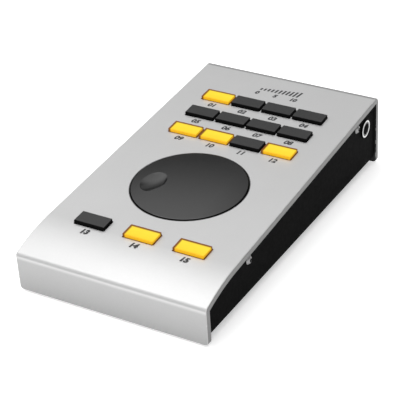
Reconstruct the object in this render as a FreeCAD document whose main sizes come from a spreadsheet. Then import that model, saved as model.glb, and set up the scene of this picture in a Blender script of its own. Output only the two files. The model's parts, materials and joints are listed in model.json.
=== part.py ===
import FreeCAD, Part
import math
import os
import re

import Sketcher
from FreeCAD import Placement, Rotation, Vector

# A desk controller for studio monitors: a bent aluminium cover over a folded steel tray,
# fifteen illuminated keys, a flush control wheel on an endless encoder, a jack and a USB socket.
#
# The model stands on its feet at Z = 0, with X to the right and Y to the rear.
# Nearly everything hangs from the sloped panel, so it is drawn in the panel's own frame:
# the origin is the sharp corner where the panel's outer plane meets the rear flange's,
# local Y runs back along the panel, and local Z is the panel's normal.
# A "run" is a distance forward along the panel from that corner, so it is minus local Y.
# A "drop" is a depth below the panel's outer face, so it is minus local Z.

SIZES = {
    # Cover, one bent sheet
    "cover_width": 105.0,
    "cover_thickness": 3.2,
    "cover_run": 198.2,
    "slope_angle": 4.65,
    "corner_height": 42.43,
    "corner_setback": 96.84,
    "front_lean": 1.15,
    "rear_bend_radius": 4.0,
    "front_bend_radius": 2.0,
    "inside_bend_radius": 0.5,
    "nose_length": 29.2,
    "nose_radius": 96.0,
    "flange_gap": 1.0,
    "flange_corner_radius": 2.0,
    "edge_radius": 0.6,
    # Chassis, a folded tray
    "chassis_inset": 1.0,
    "chassis_wall": 1.5,
    "chassis_seat_gap": 0.3,
    "chassis_corner_radius": 1.5,
    "chassis_edge_radius": 1.5,
    # Feet
    "foot_height": 4.4,
    "foot_radius": 5.5,
    "foot_chamfer": 0.6,
    "foot_side_inset": 14.5,
    "foot_end_inset": 20.0,
    # Screws that hold the chassis to the cover
    "side_screw_gap": 0.7,
    "side_screw_length": 8.0,
    "nose_screw_distance": 14.5,
    "block_width": 8.0,
    "block_length": 6.0,
    "block_height": 8.0,
    "block_gap": 0.6,
    # One size of screw for the whole product
    "screw_radius": 1.5,
    "screw_clearance": 0.1,
    "head_radius": 2.4,
    "head_height": 1.35,
    "hex_radius": 1.15,
    "hex_depth": 1.0,
    # Key layout
    "key_columns": 4,
    "key_rows": 3,
    "front_keys": 3,
    "first_row_run": 36.1,
    "row_pitch": 18.5,
    "front_key_pitch": 27.8,
    "front_row_margin": 32.4,
    "window_width": 17.8,
    "window_depth": 9.5,
    "window_radius": 0.8,
    "window_web": 0.7,
    # Key caps
    "key_gap": 0.35,
    "cap_rise": 1.8,
    "cap_skirt": 0.4,
    "cap_top": 1.2,
    "cap_wall": 1.0,
    "cap_edge_radius": 0.3,
    "cap_boss_radius": 2.8,
    # Key switches and their lamps
    "key_travel": 0.6,
    "plunger_radius": 1.75,
    "plunger_clearance": 0.1,
    "plunger_floor_gap": 0.1,
    "switch_width": 10.0,
    "switch_depth": 7.6,
    "switch_floor": 0.4,
    "lamp_radius": 1.0,
    "lamp_height": 1.2,
    "lamp_offset": 3.5,
    "lamp_clearance": 0.4,
    # Main board
    "standoff_length": 8.0,
    "standoff_radius": 2.75,
    "standoff_side_gap": 2.75,
    "standoff_rear_gap": 7.4,
    "standoff_front_gap": 8.3,
    "board_thickness": 1.6,
    "board_side_margin": 3.5,
    "board_rear_gap": 1.25,
    "board_front_margin": 4.4,
    "board_screw_length": 6.0,
    # Control wheel
    "wheel_rear_shift": 0.45,
    "wheel_hole_radius": 30.4,
    "wheel_gap": 0.5,
    "wheel_rise": 0.5,
    "wheel_crown": 0.6,
    "wheel_disc": 3.6,
    "wheel_rim_depth": 4.4,
    "wheel_rim_wall": 2.5,
    "wheel_edge_radius": 0.35,
    "dimple_distance": 19.25,
    "dimple_angle": 15.35,
    "dimple_width": 12.5,
    "dimple_length": 17.8,
    "dimple_depth": 1.05,
    # Wheel hub and encoder
    "hub_radius": 8.0,
    "hub_gap": 0.5,
    "spigot_radius": 5.0,
    "spigot_height": 2.0,
    "shaft_radius": 3.0,
    "shaft_clearance": 0.05,
    "bushing_radius": 4.5,
    "bushing_rise": 3.0,
    "encoder_width": 14.0,
    "encoder_height": 6.6,
    "encoder_floor": 1.5,
    "washer_radius": 6.5,
    "washer_thickness": 0.5,
    "nut_radius": 6.9,
    "nut_height": 2.0,
    # Jack
    "jack_run": 17.0,
    "jack_drop": 11.6,
    "jack_length": 27.0,
    "jack_width": 13.0,
    "jack_height": 13.0,
    "jack_sleeve_radius": 3.8,
    "jack_bore_radius": 3.2,
    "jack_bore_depth": 25.0,
    "jack_nut_radius": 5.0,
    "jack_nut_thickness": 0.9,
    # USB socket
    "usb_width": 12.0,
    "usb_height": 10.8,
    "usb_length": 16.0,
    "usb_recess": 0.5,
    "usb_wall": 0.5,
    "usb_mouth_width": 8.45,
    "usb_mouth_height": 7.8,
    "usb_mouth_depth": 11.0,
    "usb_tongue_width": 5.6,
    "usb_tongue_height": 3.2,
    "usb_tongue_recess": 2.0,
    "usb_window_gap": 0.5,
    # Connector board and the plug-in link between the boards
    "connector_board_gap": 1.0,
    "connector_board_side_gap": 2.0,
    "connector_board_width": 74.0,
    "connector_board_length": 34.0,
    "connector_post_inset": 5.0,
    "connector_post_spacing": 13.0,
    "jack_post_gap": 10.0,
    "link_columns": 5,
    "link_pitch": 2.54,
    "link_pin_width": 0.6,
    "link_pin_gap": 0.1,
    "link_header_height": 1.8,
    "link_end_gap": 0.4,
    # Parts soldered under the main board
    "processor_width": 10.0,
    "processor_height": 1.2,
    "processor_run": 62.0,
    "crystal_width": 11.4,
    "crystal_depth": 4.7,
    "crystal_height": 3.5,
    "crystal_offset": 16.0,
    "capacitor_radius": 2.5,
    "capacitor_height": 5.4,
    "capacitor_offset": 20.0,
}

doc = FreeCAD.newDocument("MonitorController")
sheet = doc.addObject("Spreadsheet::Sheet", "Sizes")
for row, (alias, number) in enumerate(SIZES.items(), start=1):
    sheet.set("A%d" % row, alias)
    sheet.set("B%d" % row, str(number))
    sheet.setAlias("B%d" % row, alias)
doc.recompute()

subparts = []


# Formulas -----------------------------------------------------------------------------

def formula(text):
    """Writes a formula of size names as an expression that points at the sheet's cells."""
    def cell(match):
        word = match.group(0)
        return "Sizes." + word if word in SIZES else word
    return re.sub(r"[a-z_][a-z_0-9]*", cell, str(text))


def value(text):
    """Works a formula out as a plain number."""
    result = sheet.evalExpression(formula(text))
    return float(getattr(result, "Value", result))


def bind(thing, **formulas):
    """Binds properties of a document object to formulas."""
    for name, text in formulas.items():
        thing.setExpression(name, formula(text))


def sum_of(*terms):
    """A formula in brackets, so that it can stand inside another one."""
    return "(%s)" % " + ".join(terms)


# Drops: levels below the panel's outer face
BOARD_DROP = sum_of("cover_thickness", "standoff_length")
BOARD_UNDERSIDE = sum_of(BOARD_DROP, "board_thickness")
CONNECTOR_DROP = sum_of("jack_drop", "jack_height / 2")
CAP_BOTTOM = sum_of("cover_thickness", "cap_skirt")
SWITCH_TOP = sum_of(CAP_BOTTOM, "key_travel", "lamp_clearance", "lamp_height")
SWITCH_HEIGHT = sum_of(BOARD_DROP, "-" + SWITCH_TOP)
HUB_DROP = sum_of(BOARD_DROP, "-bushing_rise", "-hub_gap")
SIDE_SCREW_DROP = sum_of("cover_thickness", "side_screw_gap", "head_radius")

# Insets from the cover's outer face, and half widths of the chassis
CHASSIS_INSET = sum_of("cover_thickness", "chassis_seat_gap")
ROOM_INSET = sum_of(CHASSIS_INSET, "chassis_wall")
CHASSIS_HALF = sum_of("cover_width / 2", "-chassis_inset")
CHASSIS_ROOM = sum_of(CHASSIS_HALF, "-chassis_wall")

# Runs: places forward along the panel
NOSE_START = sum_of("cover_run", "-nose_length")
FRONT_ROW_RUN = sum_of("cover_run", "-front_row_margin")
LAST_REAR_ROW_RUN = sum_of("first_row_run", "(key_rows - 1) * row_pitch")
WHEEL_RUN = "((%s + %s) / 2 - wheel_rear_shift)" % (LAST_REAR_ROW_RUN, FRONT_ROW_RUN)
SCREW_RUNS = {
    "rear": sum_of("jack_run", "jack_width / 2", "block_gap", "block_length / 2"),
    "front": sum_of(NOSE_START, "-nose_screw_distance"),
}
CONNECTOR_START = sum_of(ROOM_INSET, "connector_board_gap")
CONNECTOR_POST_REAR = sum_of(CONNECTOR_START, "connector_post_inset")
CONNECTOR_POST_FRONT = sum_of(CONNECTOR_POST_REAR, "connector_post_spacing")
BOARD_START = sum_of(CONNECTOR_POST_FRONT, "standoff_radius", "board_rear_gap")
BOARD_END = sum_of(FRONT_ROW_RUN, "switch_depth / 2", "board_front_margin")
LINK_RUN = "((%s + %s + connector_board_length) / 2)" % (BOARD_START, CONNECTOR_START)

# Places across
KEY_PITCH = sum_of("window_width", "window_web")
BOARD_POST_X = sum_of(CHASSIS_ROOM, "-block_width", "-standoff_side_gap", "-standoff_radius")
CONNECTOR_RIGHT = sum_of(CHASSIS_ROOM, "-connector_board_side_gap")
CONNECTOR_LEFT = sum_of(CONNECTOR_RIGHT, "-connector_board_width")
CONNECTOR_POST_LEFT = sum_of(CONNECTOR_LEFT, "connector_post_inset")
CONNECTOR_POST_RIGHT = sum_of(CHASSIS_ROOM, "-jack_length", "-jack_post_gap")
USB_CENTRE = "((%s + %s) / 2)" % (CONNECTOR_POST_LEFT, CONNECTOR_POST_RIGHT)


def place_in_panel(thing, across="0", run="0", drop="0"):
    """Turns a piece into the panel's frame, moved across, forward and down in that frame."""
    thing.Placement = Placement(Vector(0, 0, 0), Rotation(Vector(1, 0, 0), value("slope_angle")))
    tilt = {"run": run, "drop": drop}
    back = "corner_setback - (%(run)s) * cos(slope_angle) + (%(drop)s) * sin(slope_angle)"
    up = "corner_height - (%(run)s) * sin(slope_angle) - (%(drop)s) * cos(slope_angle)"
    thing.setExpression(".Placement.Base.x", formula(across))
    thing.setExpression(".Placement.Base.y", formula(back % tilt))
    thing.setExpression(".Placement.Base.z", formula(up % tilt))
    thing.setExpression(".Placement.Rotation.Angle", formula("slope_angle"))


def subpart(thing, label):
    """Names a finished piece after its node."""
    thing.Label = label
    subparts.append(thing)


# Part primitives ----------------------------------------------------------------------

def move(thing, x, y, z):
    """Places a primitive by its own origin."""
    thing.setExpression(".Placement.Base.x", formula(x))
    thing.setExpression(".Placement.Base.y", formula(y))
    thing.setExpression(".Placement.Base.z", formula(z))


def block(name, size, centre, top):
    """A box of (width, depth, height), centred in plan, with its top face at a local height."""
    box = doc.addObject("Part::Box", name)
    bind(box, Length=size[0], Width=size[1], Height=size[2])
    move(
        box,
        "%s - (%s) / 2" % (centre[0], size[0]),
        "%s - (%s) / 2" % (centre[1], size[1]),
        "%s - (%s)" % (top, size[2]),
    )
    return box


def rod(name, radius, length, x, y, z, axis=None):
    """A cylinder that starts at a point and runs along +Z, or along another axis."""
    cylinder = doc.addObject("Part::Cylinder", name)
    if axis:
        cylinder.Placement.Rotation = Rotation(Vector(0, 0, 1), axis)
    bind(cylinder, Radius=radius, Height=length)
    move(cylinder, x, y, z)
    return cylinder


def hexagon(name, corner_radius, length, x, y, z, axis=None):
    """A six-sided prism that starts at a point and runs along +Z, or along another axis."""
    prism = doc.addObject("Part::Prism", name)
    prism.Polygon = 6
    if axis:
        prism.Placement.Rotation = Rotation(Vector(0, 0, 1), axis)
    bind(prism, Circumradius=corner_radius, Height=length)
    move(prism, x, y, z)
    return prism


def ball(name, radius, x, y, z):
    sphere = doc.addObject("Part::Sphere", name)
    bind(sphere, Radius=radius)
    move(sphere, x, y, z)
    return sphere


def cut(name, base, tools):
    """Takes one tool or several away from a solid."""
    result = doc.addObject("Part::Cut", name)
    result.Base = base
    result.Tool = tools[0] if len(tools) == 1 else fuse(name + "_tools", tools)
    return result


def fuse(name, pieces):
    joined = doc.addObject("Part::MultiFuse", name)
    joined.Shapes = pieces
    return joined


def group(name, pieces):
    """Keeps several separate solids in one node."""
    compound = doc.addObject("Part::Compound", name)
    compound.Links = pieces
    return compound


def tube(name, outer, inner, length, x, y, z):
    return cut(
        name,
        rod(name + "_outside", outer, length, x, y, z),
        [rod(name + "_inside", inner, length, x, y, z)],
    )


# Sketches and features ----------------------------------------------------------------

def make_body(name):
    body = doc.addObject("PartDesign::Body", name)
    body.AllowCompound = True
    return body


def origin_feature(body, role):
    return next(part for part in body.Origin.OriginFeatures if part.Role == role)


def make_sketch(body, name, role, offset=None):
    """A sketch on one of the body's origin planes, or a distance along its normal."""
    sketch = body.newObject("Sketcher::SketchObject", name)
    sketch.AttachmentSupport = [(origin_feature(body, role), "")]
    sketch.MapMode = "FlatFace"
    if offset:
        sketch.AttachmentOffset = Placement(Vector(0, 0, value(offset)), Rotation())
        sketch.setExpression(".AttachmentOffset.Base.z", formula(offset))
    return sketch


def dimension(sketch, kind, places, text):
    """Adds a driving dimension and binds it to a formula."""
    index = sketch.addConstraint(Sketcher.Constraint(kind, *places, value(text)))
    sketch.setExpression("Constraints[%d]" % index, formula(text))


def fix_point(sketch, curve, end, x, y):
    """Ties a point of a curve to its place from the sketch's origin."""
    dimension(sketch, "DistanceX", (-1, 1, curve, end), x)
    dimension(sketch, "DistanceY", (-1, 1, curve, end), y)


def draw_circle(sketch, radius, x="0", y="0"):
    centre = Vector(value(x), value(y), 0)
    circle = sketch.addGeometry(Part.Circle(centre, Vector(0, 0, 1), value(radius)), False)
    dimension(sketch, "Radius", (circle,), radius)
    fix_point(sketch, circle, 3, x, y)


def draw_polygon(sketch, points):
    """A closed outline through points, each a pair of formulas."""
    corners = [Vector(value(x), value(y), 0) for x, y in points]
    sides = []
    for start, end in zip(corners, corners[1:] + corners[:1]):
        sides.append(sketch.addGeometry(Part.LineSegment(start, end), False))
    for side, following in zip(sides, sides[1:] + sides[:1]):
        sketch.addConstraint(Sketcher.Constraint("Coincident", side, 2, following, 1))
    for side, (x, y) in zip(sides, points):
        fix_point(sketch, side, 1, x, y)


def draw_window(sketch, width, depth, radius, x="0", y="0"):
    """A rectangle with rounded corners, centred on a point."""
    half_width = value(width) / 2
    half_depth = value(depth) / 2
    round_radius = value(radius)
    middle = Vector(value(x), value(y), 0)
    arc_centres = [
        middle + Vector(across * (half_width - round_radius), up * (half_depth - round_radius), 0)
        for across, up in ((1, 1), (-1, 1), (-1, -1), (1, -1))
    ]
    arcs = []
    for quarter, centre in enumerate(arc_centres):
        circle = Part.Circle(centre, Vector(0, 0, 1), round_radius)
        start = quarter * math.pi / 2
        arcs.append(sketch.addGeometry(Part.ArcOfCircle(circle, start, start + math.pi / 2), False))
    sides = []
    for arc, following in zip(arcs, arcs[1:] + arcs[:1]):
        line = Part.LineSegment(sketch.getPoint(arc, 2), sketch.getPoint(following, 1))
        side = sketch.addGeometry(line, False)
        sketch.addConstraint(Sketcher.Constraint("Tangent", arc, 2, side, 1))
        sketch.addConstraint(Sketcher.Constraint("Tangent", side, 2, following, 1))
        sides.append(side)
    top, left, bottom, right = sides
    for side in (top, bottom):
        sketch.addConstraint(Sketcher.Constraint("Horizontal", side))
    for side in (left, right):
        sketch.addConstraint(Sketcher.Constraint("Vertical", side))
    for arc in arcs[1:]:
        sketch.addConstraint(Sketcher.Constraint("Equal", arcs[0], arc))
    dimension(sketch, "Radius", (arcs[0],), radius)
    dimension(sketch, "DistanceX", (left, 1, right, 1), width)
    dimension(sketch, "DistanceY", (bottom, 1, top, 1), depth)
    dimension(sketch, "DistanceX", (-1, 1, right, 1), "%s + (%s) / 2" % (x, width))
    dimension(sketch, "DistanceY", (-1, 1, top, 1), "%s + (%s) / 2" % (y, depth))


def add_feature(body, kind, name, sketch, length, side_type="One side", reverse=False):
    """A Pad or a Pocket of a sketch."""
    feature = body.newObject("PartDesign::" + kind, name)
    feature.Profile = sketch
    feature.SideType = side_type
    feature.Reversed = reverse
    bind(feature, Length=length)
    doc.recompute()
    return feature


def dress(body, kind, name, base, edges, size_name, size):
    """A Fillet or a Chamfer on some edges of the feature before it."""
    feature = body.newObject("PartDesign::" + kind, name)
    feature.Base = (base, edges)
    feature.setExpression(size_name, formula(size))
    doc.recompute()
    return feature


def edges_where(feature, test):
    """Names of the edges whose ends, as local points, pass a test."""
    names = []
    for number, edge in enumerate(feature.Shape.Edges, start=1):
        if test([vertex.Point for vertex in edge.Vertexes]):
            names.append("Edge%d" % number)
    return names


def near(first, second, margin=0.01):
    return abs(first - second) < margin


# The cover's side outline -------------------------------------------------------------

def rear_point(inset, height):
    """A point of the rear flange, inset from its outer face, at a height above the floor."""
    drop = "(corner_height - (%s) - (%s) * sin(slope_angle)) / cos(slope_angle)"
    return "-(%s)" % inset, "-" + drop % (height, inset)


def front_point(inset, height):
    """A point of the front flange, inset from its outer face, at a height above the floor."""
    turn = "(slope_angle - front_lean)"
    fall = "((corner_height - cover_run * sin(slope_angle) + (%s) * sin(%s) - (%s)) / cos(%s))"
    fall = fall % (inset, turn, height, turn)
    across = "(%s) * cos(front_lean) - %s * sin(front_lean) - cover_run" % (inset, fall)
    up = "-(%s) * sin(front_lean) - %s * cos(front_lean)" % (inset, fall)
    return across, up


def front_bend_centre(depth):
    """The point at one depth inside both the front flange's outer face and the nose's."""
    lean = math.radians(value("front_lean"))
    outward = Vector(-math.cos(lean), math.sin(lean), 0)
    downward = Vector(-math.sin(lean), -math.cos(lean), 0)
    nose_centre = Vector(-value(NOSE_START), -value("nose_radius"), 0)
    start = Vector(-value("cover_run"), 0, 0) - outward * depth
    reach = start - nose_centre
    half = downward.dot(reach)
    rest = reach.dot(reach) - (value("nose_radius") - depth) ** 2
    return start + downward * (-half - math.sqrt(half * half - rest))


def draw_outline(sketch, inset, height, rear_radius, front_radius):
    """The cover's side outline, some way inside its outer face, with its own two bend radii.

    Returns its curves in order: rear flange, rear bend, panel, nose, front bend, front flange.
    """
    lean = math.radians(value("front_lean"))
    rear_depth = value(sum_of(inset, rear_radius))
    rear_centre = Vector(-rear_depth, -rear_depth, 0)
    nose_centre = Vector(-value(NOSE_START), -value("nose_radius"), 0)
    bend_centre = front_bend_centre(value(sum_of(inset, front_radius)))
    towards_bend = bend_centre - nose_centre
    meeting = math.atan2(towards_bend.y, towards_bend.x)
    nose_arc_radius = "nose_radius - (%s)" % inset

    def arc(centre, radius, start, end):
        circle = Part.Circle(centre, Vector(0, 0, 1), value(radius))
        return sketch.addGeometry(Part.ArcOfCircle(circle, start, end), False)

    def line(start, end):
        return sketch.addGeometry(Part.LineSegment(start, end), False)

    rear_foot = Vector(*[value(text) for text in rear_point(inset, height)], 0)
    front_foot = Vector(*[value(text) for text in front_point(inset, height)], 0)
    rear_bend = arc(rear_centre, rear_radius, 0, math.pi / 2)
    nose = arc(nose_centre, nose_arc_radius, math.pi / 2, meeting)
    front_bend = arc(bend_centre, front_radius, meeting, math.pi - lean)
    rear = line(rear_foot, sketch.getPoint(rear_bend, 1))
    panel = line(sketch.getPoint(rear_bend, 2), sketch.getPoint(nose, 1))
    front = line(sketch.getPoint(front_bend, 2), front_foot)

    chain = [rear, rear_bend, panel, nose, front_bend, front]
    for curve, following in zip(chain, chain[1:]):
        sketch.addConstraint(Sketcher.Constraint("Tangent", curve, 2, following, 1))
    sketch.addConstraint(Sketcher.Constraint("Vertical", rear))
    sketch.addConstraint(Sketcher.Constraint("Horizontal", panel))
    dimension(sketch, "Radius", (rear_bend,), rear_radius)
    dimension(sketch, "Radius", (nose,), nose_arc_radius)
    dimension(sketch, "Radius", (front_bend,), front_radius)
    fix_point(sketch, rear, 1, *rear_point(inset, height))
    fix_point(sketch, front, 2, *front_point(inset, height))
    fix_point(sketch, nose, 3, "-" + NOSE_START, "-nose_radius")
    dimension(sketch, "Distance", (-1, 1, front), "cover_run * cos(front_lean) - (%s)" % inset)
    return chain


def join(sketch, first, second):
    """A straight line between two (curve, end) points."""
    line = Part.LineSegment(sketch.getPoint(*first), sketch.getPoint(*second))
    side = sketch.addGeometry(line, False)
    sketch.addConstraint(Sketcher.Constraint("Coincident", side, 1, *first))
    sketch.addConstraint(Sketcher.Constraint("Coincident", side, 2, *second))


# Key places ---------------------------------------------------------------------------

def key_places():
    """Each key's two-figure number, place across and run, from the rear left key on."""
    places = []
    for key_row in range(int(value("key_rows"))):
        for column in range(int(value("key_columns"))):
            across = "(%d - (key_columns - 1) / 2) * %s" % (column, KEY_PITCH)
            places.append((across, "first_row_run + %d * row_pitch" % key_row))
    for column in range(int(value("front_keys"))):
        places.append(("(%d - (front_keys - 1) / 2) * front_key_pitch" % column, FRONT_ROW_RUN))
    return [("%02d" % number, *place) for number, place in enumerate(places, start=1)]


# Housing ------------------------------------------------------------------------------

def make_top_cover():
    body = make_body("CoverBody")
    section = make_sketch(body, "CoverSection", "YZ_Plane")
    outer = draw_outline(section, "0", "flange_gap", "rear_bend_radius", "front_bend_radius")
    inner = draw_outline(
        section, "cover_thickness", "flange_gap", "inside_bend_radius", "inside_bend_radius"
    )
    join(section, (outer[0], 1), (inner[0], 1))
    join(section, (outer[-1], 2), (inner[-1], 2))
    sheet_metal = add_feature(body, "Pad", "CoverSheet", section, "cover_width", "Symmetric")

    half_width = value("cover_width") / 2
    flange_ends = [value(rear_point("0", "flange_gap")[1]), value(front_point("0", "flange_gap")[1])]

    def at_flange_end(ends):
        on_side = all(near(abs(point.x), half_width) for point in ends)
        crosses_sheet = any(near(point.z, level) for point in ends for level in flange_ends)
        short = (ends[0] - ends[-1]).Length < 1.5 * value("cover_thickness")
        return on_side and crosses_sheet and short

    corners = dress(
        body, "Fillet", "FlangeCorners", sheet_metal,
        edges_where(sheet_metal, at_flange_end), "Radius", "flange_corner_radius",
    )
    # One straight edge on each side is enough, because a fillet follows the smooth outline
    panel_edges = edges_where(
        corners, lambda ends: all(near(abs(p.x), half_width) and near(p.z, 0) for p in ends)
    )
    dress(body, "Fillet", "OuterEdges", corners, panel_edges, "Radius", "edge_radius")

    cut_key_windows(
        body, "RearKeys", "first_row_run", ("key_columns", KEY_PITCH), ("key_rows", "row_pitch")
    )
    cut_key_windows(body, "FrontKeys", FRONT_ROW_RUN, ("front_keys", "front_key_pitch"))

    wheel_hole = make_sketch(body, "WheelHole", "XY_Plane")
    draw_circle(wheel_hole, "wheel_hole_radius", "0", "-" + WHEEL_RUN)
    add_feature(body, "Pocket", "WheelHoleCut", wheel_hole, "2 * cover_thickness")
    cut_usb_window(body, "Cover", "3 * cover_thickness")
    place_in_panel(body)
    subpart(body, "top_cover")


def cut_key_windows(body, name, run, columns, rows=None):
    """One window at the left of the rearmost row, repeated by (count, pitch) pairs."""
    extent = "(%s - 1) * %s"
    sketch = make_sketch(body, name + "Window", "XY_Plane")
    left = "-%s / 2" % (extent % columns)
    draw_window(sketch, "window_width", "window_depth", "window_radius", left, "-" + run)
    window = add_feature(body, "Pocket", name + "WindowCut", sketch, "2 * cover_thickness")
    pattern = body.newObject("PartDesign::LinearPattern", name + "Windows")
    pattern.Originals = [window]
    pattern.Direction = (sketch, ["H_Axis"])
    bind(pattern, Occurrences=columns[0], Length=extent % columns)
    if rows:
        pattern.Direction2 = (sketch, ["V_Axis"])
        pattern.Reversed2 = True
        bind(pattern, Occurrences2=rows[0], Length2=extent % rows)
    body.Tip = pattern
    doc.recompute()


def cut_usb_window(body, name, length):
    """The window that the USB socket looks out of, through whatever stands behind it."""
    window = make_sketch(body, name + "UsbWindow", "XZ_Plane")
    draw_window(
        window,
        "usb_width + 2 * usb_window_gap",
        "usb_height + 2 * usb_window_gap",
        "usb_window_gap",
        USB_CENTRE,
        "usb_height / 2 - %s" % CONNECTOR_DROP,
    )
    add_feature(body, "Pocket", name + "UsbWindowCut", window, length, "Symmetric")


def make_base_chassis():
    body = make_body("ChassisBody")
    section = make_sketch(body, "ChassisSection", "YZ_Plane")
    outline = draw_outline(
        section, CHASSIS_INSET, "foot_height", "inside_bend_radius", "inside_bend_radius"
    )
    # Straight cuts clear the cover's two inside bends
    for bend in (outline[1], outline[4]):
        section.toggleConstruction(bend)
        join(section, (bend, 1), (bend, 2))
    join(section, (outline[0], 1), (outline[-1], 2))
    shell = add_feature(body, "Pad", "ChassisShell", section, "2 * " + CHASSIS_HALF, "Symmetric")

    half_width = value(CHASSIS_HALF)
    long_edge = 3 * value("chassis_corner_radius")

    def stands_in_corner(ends):
        on_side = all(near(abs(point.x), half_width) for point in ends)
        rise = abs(ends[0].z - ends[-1].z)
        return on_side and rise > long_edge and abs(ends[0].y - ends[-1].y) < 1

    corners = dress(
        body, "Fillet", "ChassisCorners", shell,
        edges_where(shell, stands_in_corner), "Radius", "chassis_corner_radius",
    )
    slope = math.radians(value("slope_angle"))
    floor_level = (value("foot_height") - value("corner_height")) / math.cos(slope)

    def along_floor(ends):
        on_side = all(near(abs(point.x), half_width) for point in ends)
        return on_side and all(near(p.z + p.y * math.tan(slope), floor_level) for p in ends)

    dress(
        body, "Fillet", "ChassisFloorEdges", corners,
        edges_where(corners, along_floor), "Radius", "chassis_edge_radius",
    )

    room = make_sketch(body, "ChassisRoom", "YZ_Plane")
    open_top = "cover_thickness"
    front_top = "%s / cos(front_lean) + %s * tan(front_lean)" % (ROOM_INSET, open_top)
    draw_polygon(room, [
        rear_point(ROOM_INSET, "foot_height + chassis_wall"),
        ("-%s" % ROOM_INSET, open_top),
        (front_top + " - cover_run", open_top),
        front_point(ROOM_INSET, "foot_height + chassis_wall"),
    ])
    add_feature(body, "Pocket", "ChassisRoomCut", room, "2 * " + CHASSIS_ROOM, "Symmetric")

    screws = make_sketch(body, "SideScrewHoles", "YZ_Plane")
    for run in SCREW_RUNS.values():
        draw_circle(screws, "screw_radius + screw_clearance", "-" + run, "-" + SIDE_SCREW_DROP)
    add_feature(body, "Pocket", "SideScrewHolesCut", screws, "cover_width", "Symmetric")

    jack_hole = make_sketch(body, "JackHole", "YZ_Plane", "cover_width / 2")
    draw_circle(jack_hole, "jack_sleeve_radius + screw_clearance", "-jack_run", "-jack_drop")
    add_feature(body, "Pocket", "JackHoleCut", jack_hole, "chassis_inset + 2 * chassis_wall")
    cut_usb_window(body, "Chassis", "2 * (%s + chassis_wall)" % ROOM_INSET)
    place_in_panel(body)
    subpart(body, "base_chassis")


def make_cover_blocks():
    """Threaded blocks under the panel, which the side screws pull against the chassis."""
    blocks = []
    for side, sign in (("left", -1), ("right", 1)):
        for end, run in SCREW_RUNS.items():
            name = "block_%s_%s" % (side, end)
            across = "%d * (%s - block_width / 2)" % (sign, CHASSIS_ROOM)
            solid = block(
                name + "_body",
                ("block_width", "block_length", "block_height"),
                (across, "-" + run),
                "-cover_thickness",
            )
            thread = rod(
                name + "_thread", "screw_radius", "block_width",
                "%s - block_width / 2" % across, "-" + run, "-" + SIDE_SCREW_DROP, Vector(1, 0, 0),
            )
            blocks.append(cut(name, solid, [thread]))
    blocks = group("cover_blocks", blocks)
    place_in_panel(blocks)
    subpart(blocks, "cover_blocks")


def make_screw(name, length, seat, axis):
    """A button-head screw whose head sits on a seat point and whose shank runs along an axis."""
    x, y, z = seat

    def along(distance):
        """The seat point moved along the screw, as formulas."""
        return [
            "%s + %g * (%s)" % (start, step, distance)
            for start, step in ((x, axis.x), (y, axis.y), (z, axis.z))
        ]

    dome_radius = "((head_radius ^ 2 + head_height ^ 2) / (2 * head_height))"
    head = doc.addObject("Part::Common", name + "_head")
    head.Base = rod(name + "_disc", "head_radius", "head_height", *along("-head_height"), axis)
    head.Tool = ball(name + "_dome", dome_radius, *along("%s - head_height" % dome_radius))
    shank = rod(name + "_shank", "screw_radius", length, x, y, z, axis)
    socket = hexagon(name + "_socket", "hex_radius", "hex_depth", *along("-head_height"), axis)
    return cut(name, fuse(name + "_solid", [head, shank]), [socket])


def make_side_screws():
    screws = []
    for side, sign in (("left", -1), ("right", 1)):
        for end, run in SCREW_RUNS.items():
            seat = ("%d * %s" % (sign, CHASSIS_HALF), "-" + run, "-" + SIDE_SCREW_DROP)
            name = "side_screw_%s_%s" % (side, end)
            screws.append(make_screw(name, "side_screw_length", seat, Vector(-sign, 0, 0)))
    screws = group("side_screws", screws)
    place_in_panel(screws)
    subpart(screws, "side_screws")


def make_rubber_feet():
    body = make_body("FeetBody")
    sketch = make_sketch(body, "FeetOutline", "XY_Plane")
    rear = "corner_setback - foot_end_inset"
    front = "corner_setback - cover_run * cos(slope_angle) + foot_end_inset"
    for sign in (-1, 1):
        for y in (rear, front):
            draw_circle(sketch, "foot_radius", "%d * (cover_width / 2 - foot_side_inset)" % sign, y)
    feet = add_feature(body, "Pad", "Feet", sketch, "foot_height")
    soles = edges_where(feet, lambda ends: all(near(point.z, 0) for point in ends))
    dress(body, "Chamfer", "FeetChamfer", feet, soles, "Size", "foot_chamfer")
    subpart(body, "rubber_feet")


# Boards -------------------------------------------------------------------------------

def main_board_posts():
    """Places of the six standoffs, as (across, local Y)."""
    runs = (
        "first_row_run + row_pitch / 2",
        "%s + window_depth / 2 + standoff_rear_gap + standoff_radius" % LAST_REAR_ROW_RUN,
        "%s - window_depth / 2 - standoff_front_gap - standoff_radius" % FRONT_ROW_RUN,
    )
    return [("%d * %s" % (sign, BOARD_POST_X), "-(%s)" % run) for run in runs for sign in (-1, 1)]


def connector_board_posts():
    """Places of the four long standoffs, as (across, local Y)."""
    return [
        (across, "-" + run)
        for across in (CONNECTOR_POST_LEFT, CONNECTOR_POST_RIGHT)
        for run in (CONNECTOR_POST_REAR, CONNECTOR_POST_FRONT)
    ]


def make_board_mounting(name, posts, level):
    """Standoffs from the panel's underside to a board, and the screws that hold the board."""
    standoffs = []
    screws = []
    for number, (x, y) in enumerate(posts, start=1):
        post = "%s_standoff_%d" % (name, number)
        length = "%s - cover_thickness" % level
        standoffs.append(
            tube(post, "standoff_radius", "screw_radius", length, x, y, "-%s" % level)
        )
        seat = (x, y, "-%s - board_thickness" % level)
        screw = "%s_screw_%d" % (name, number)
        screws.append(make_screw(screw, "board_screw_length", seat, Vector(0, 0, 1)))
    for kind, pieces in (("standoffs", standoffs), ("screws", screws)):
        node = group("%s_%s" % (name, kind), pieces)
        place_in_panel(node)
        subpart(node, "%s_%s" % (name, kind))


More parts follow.
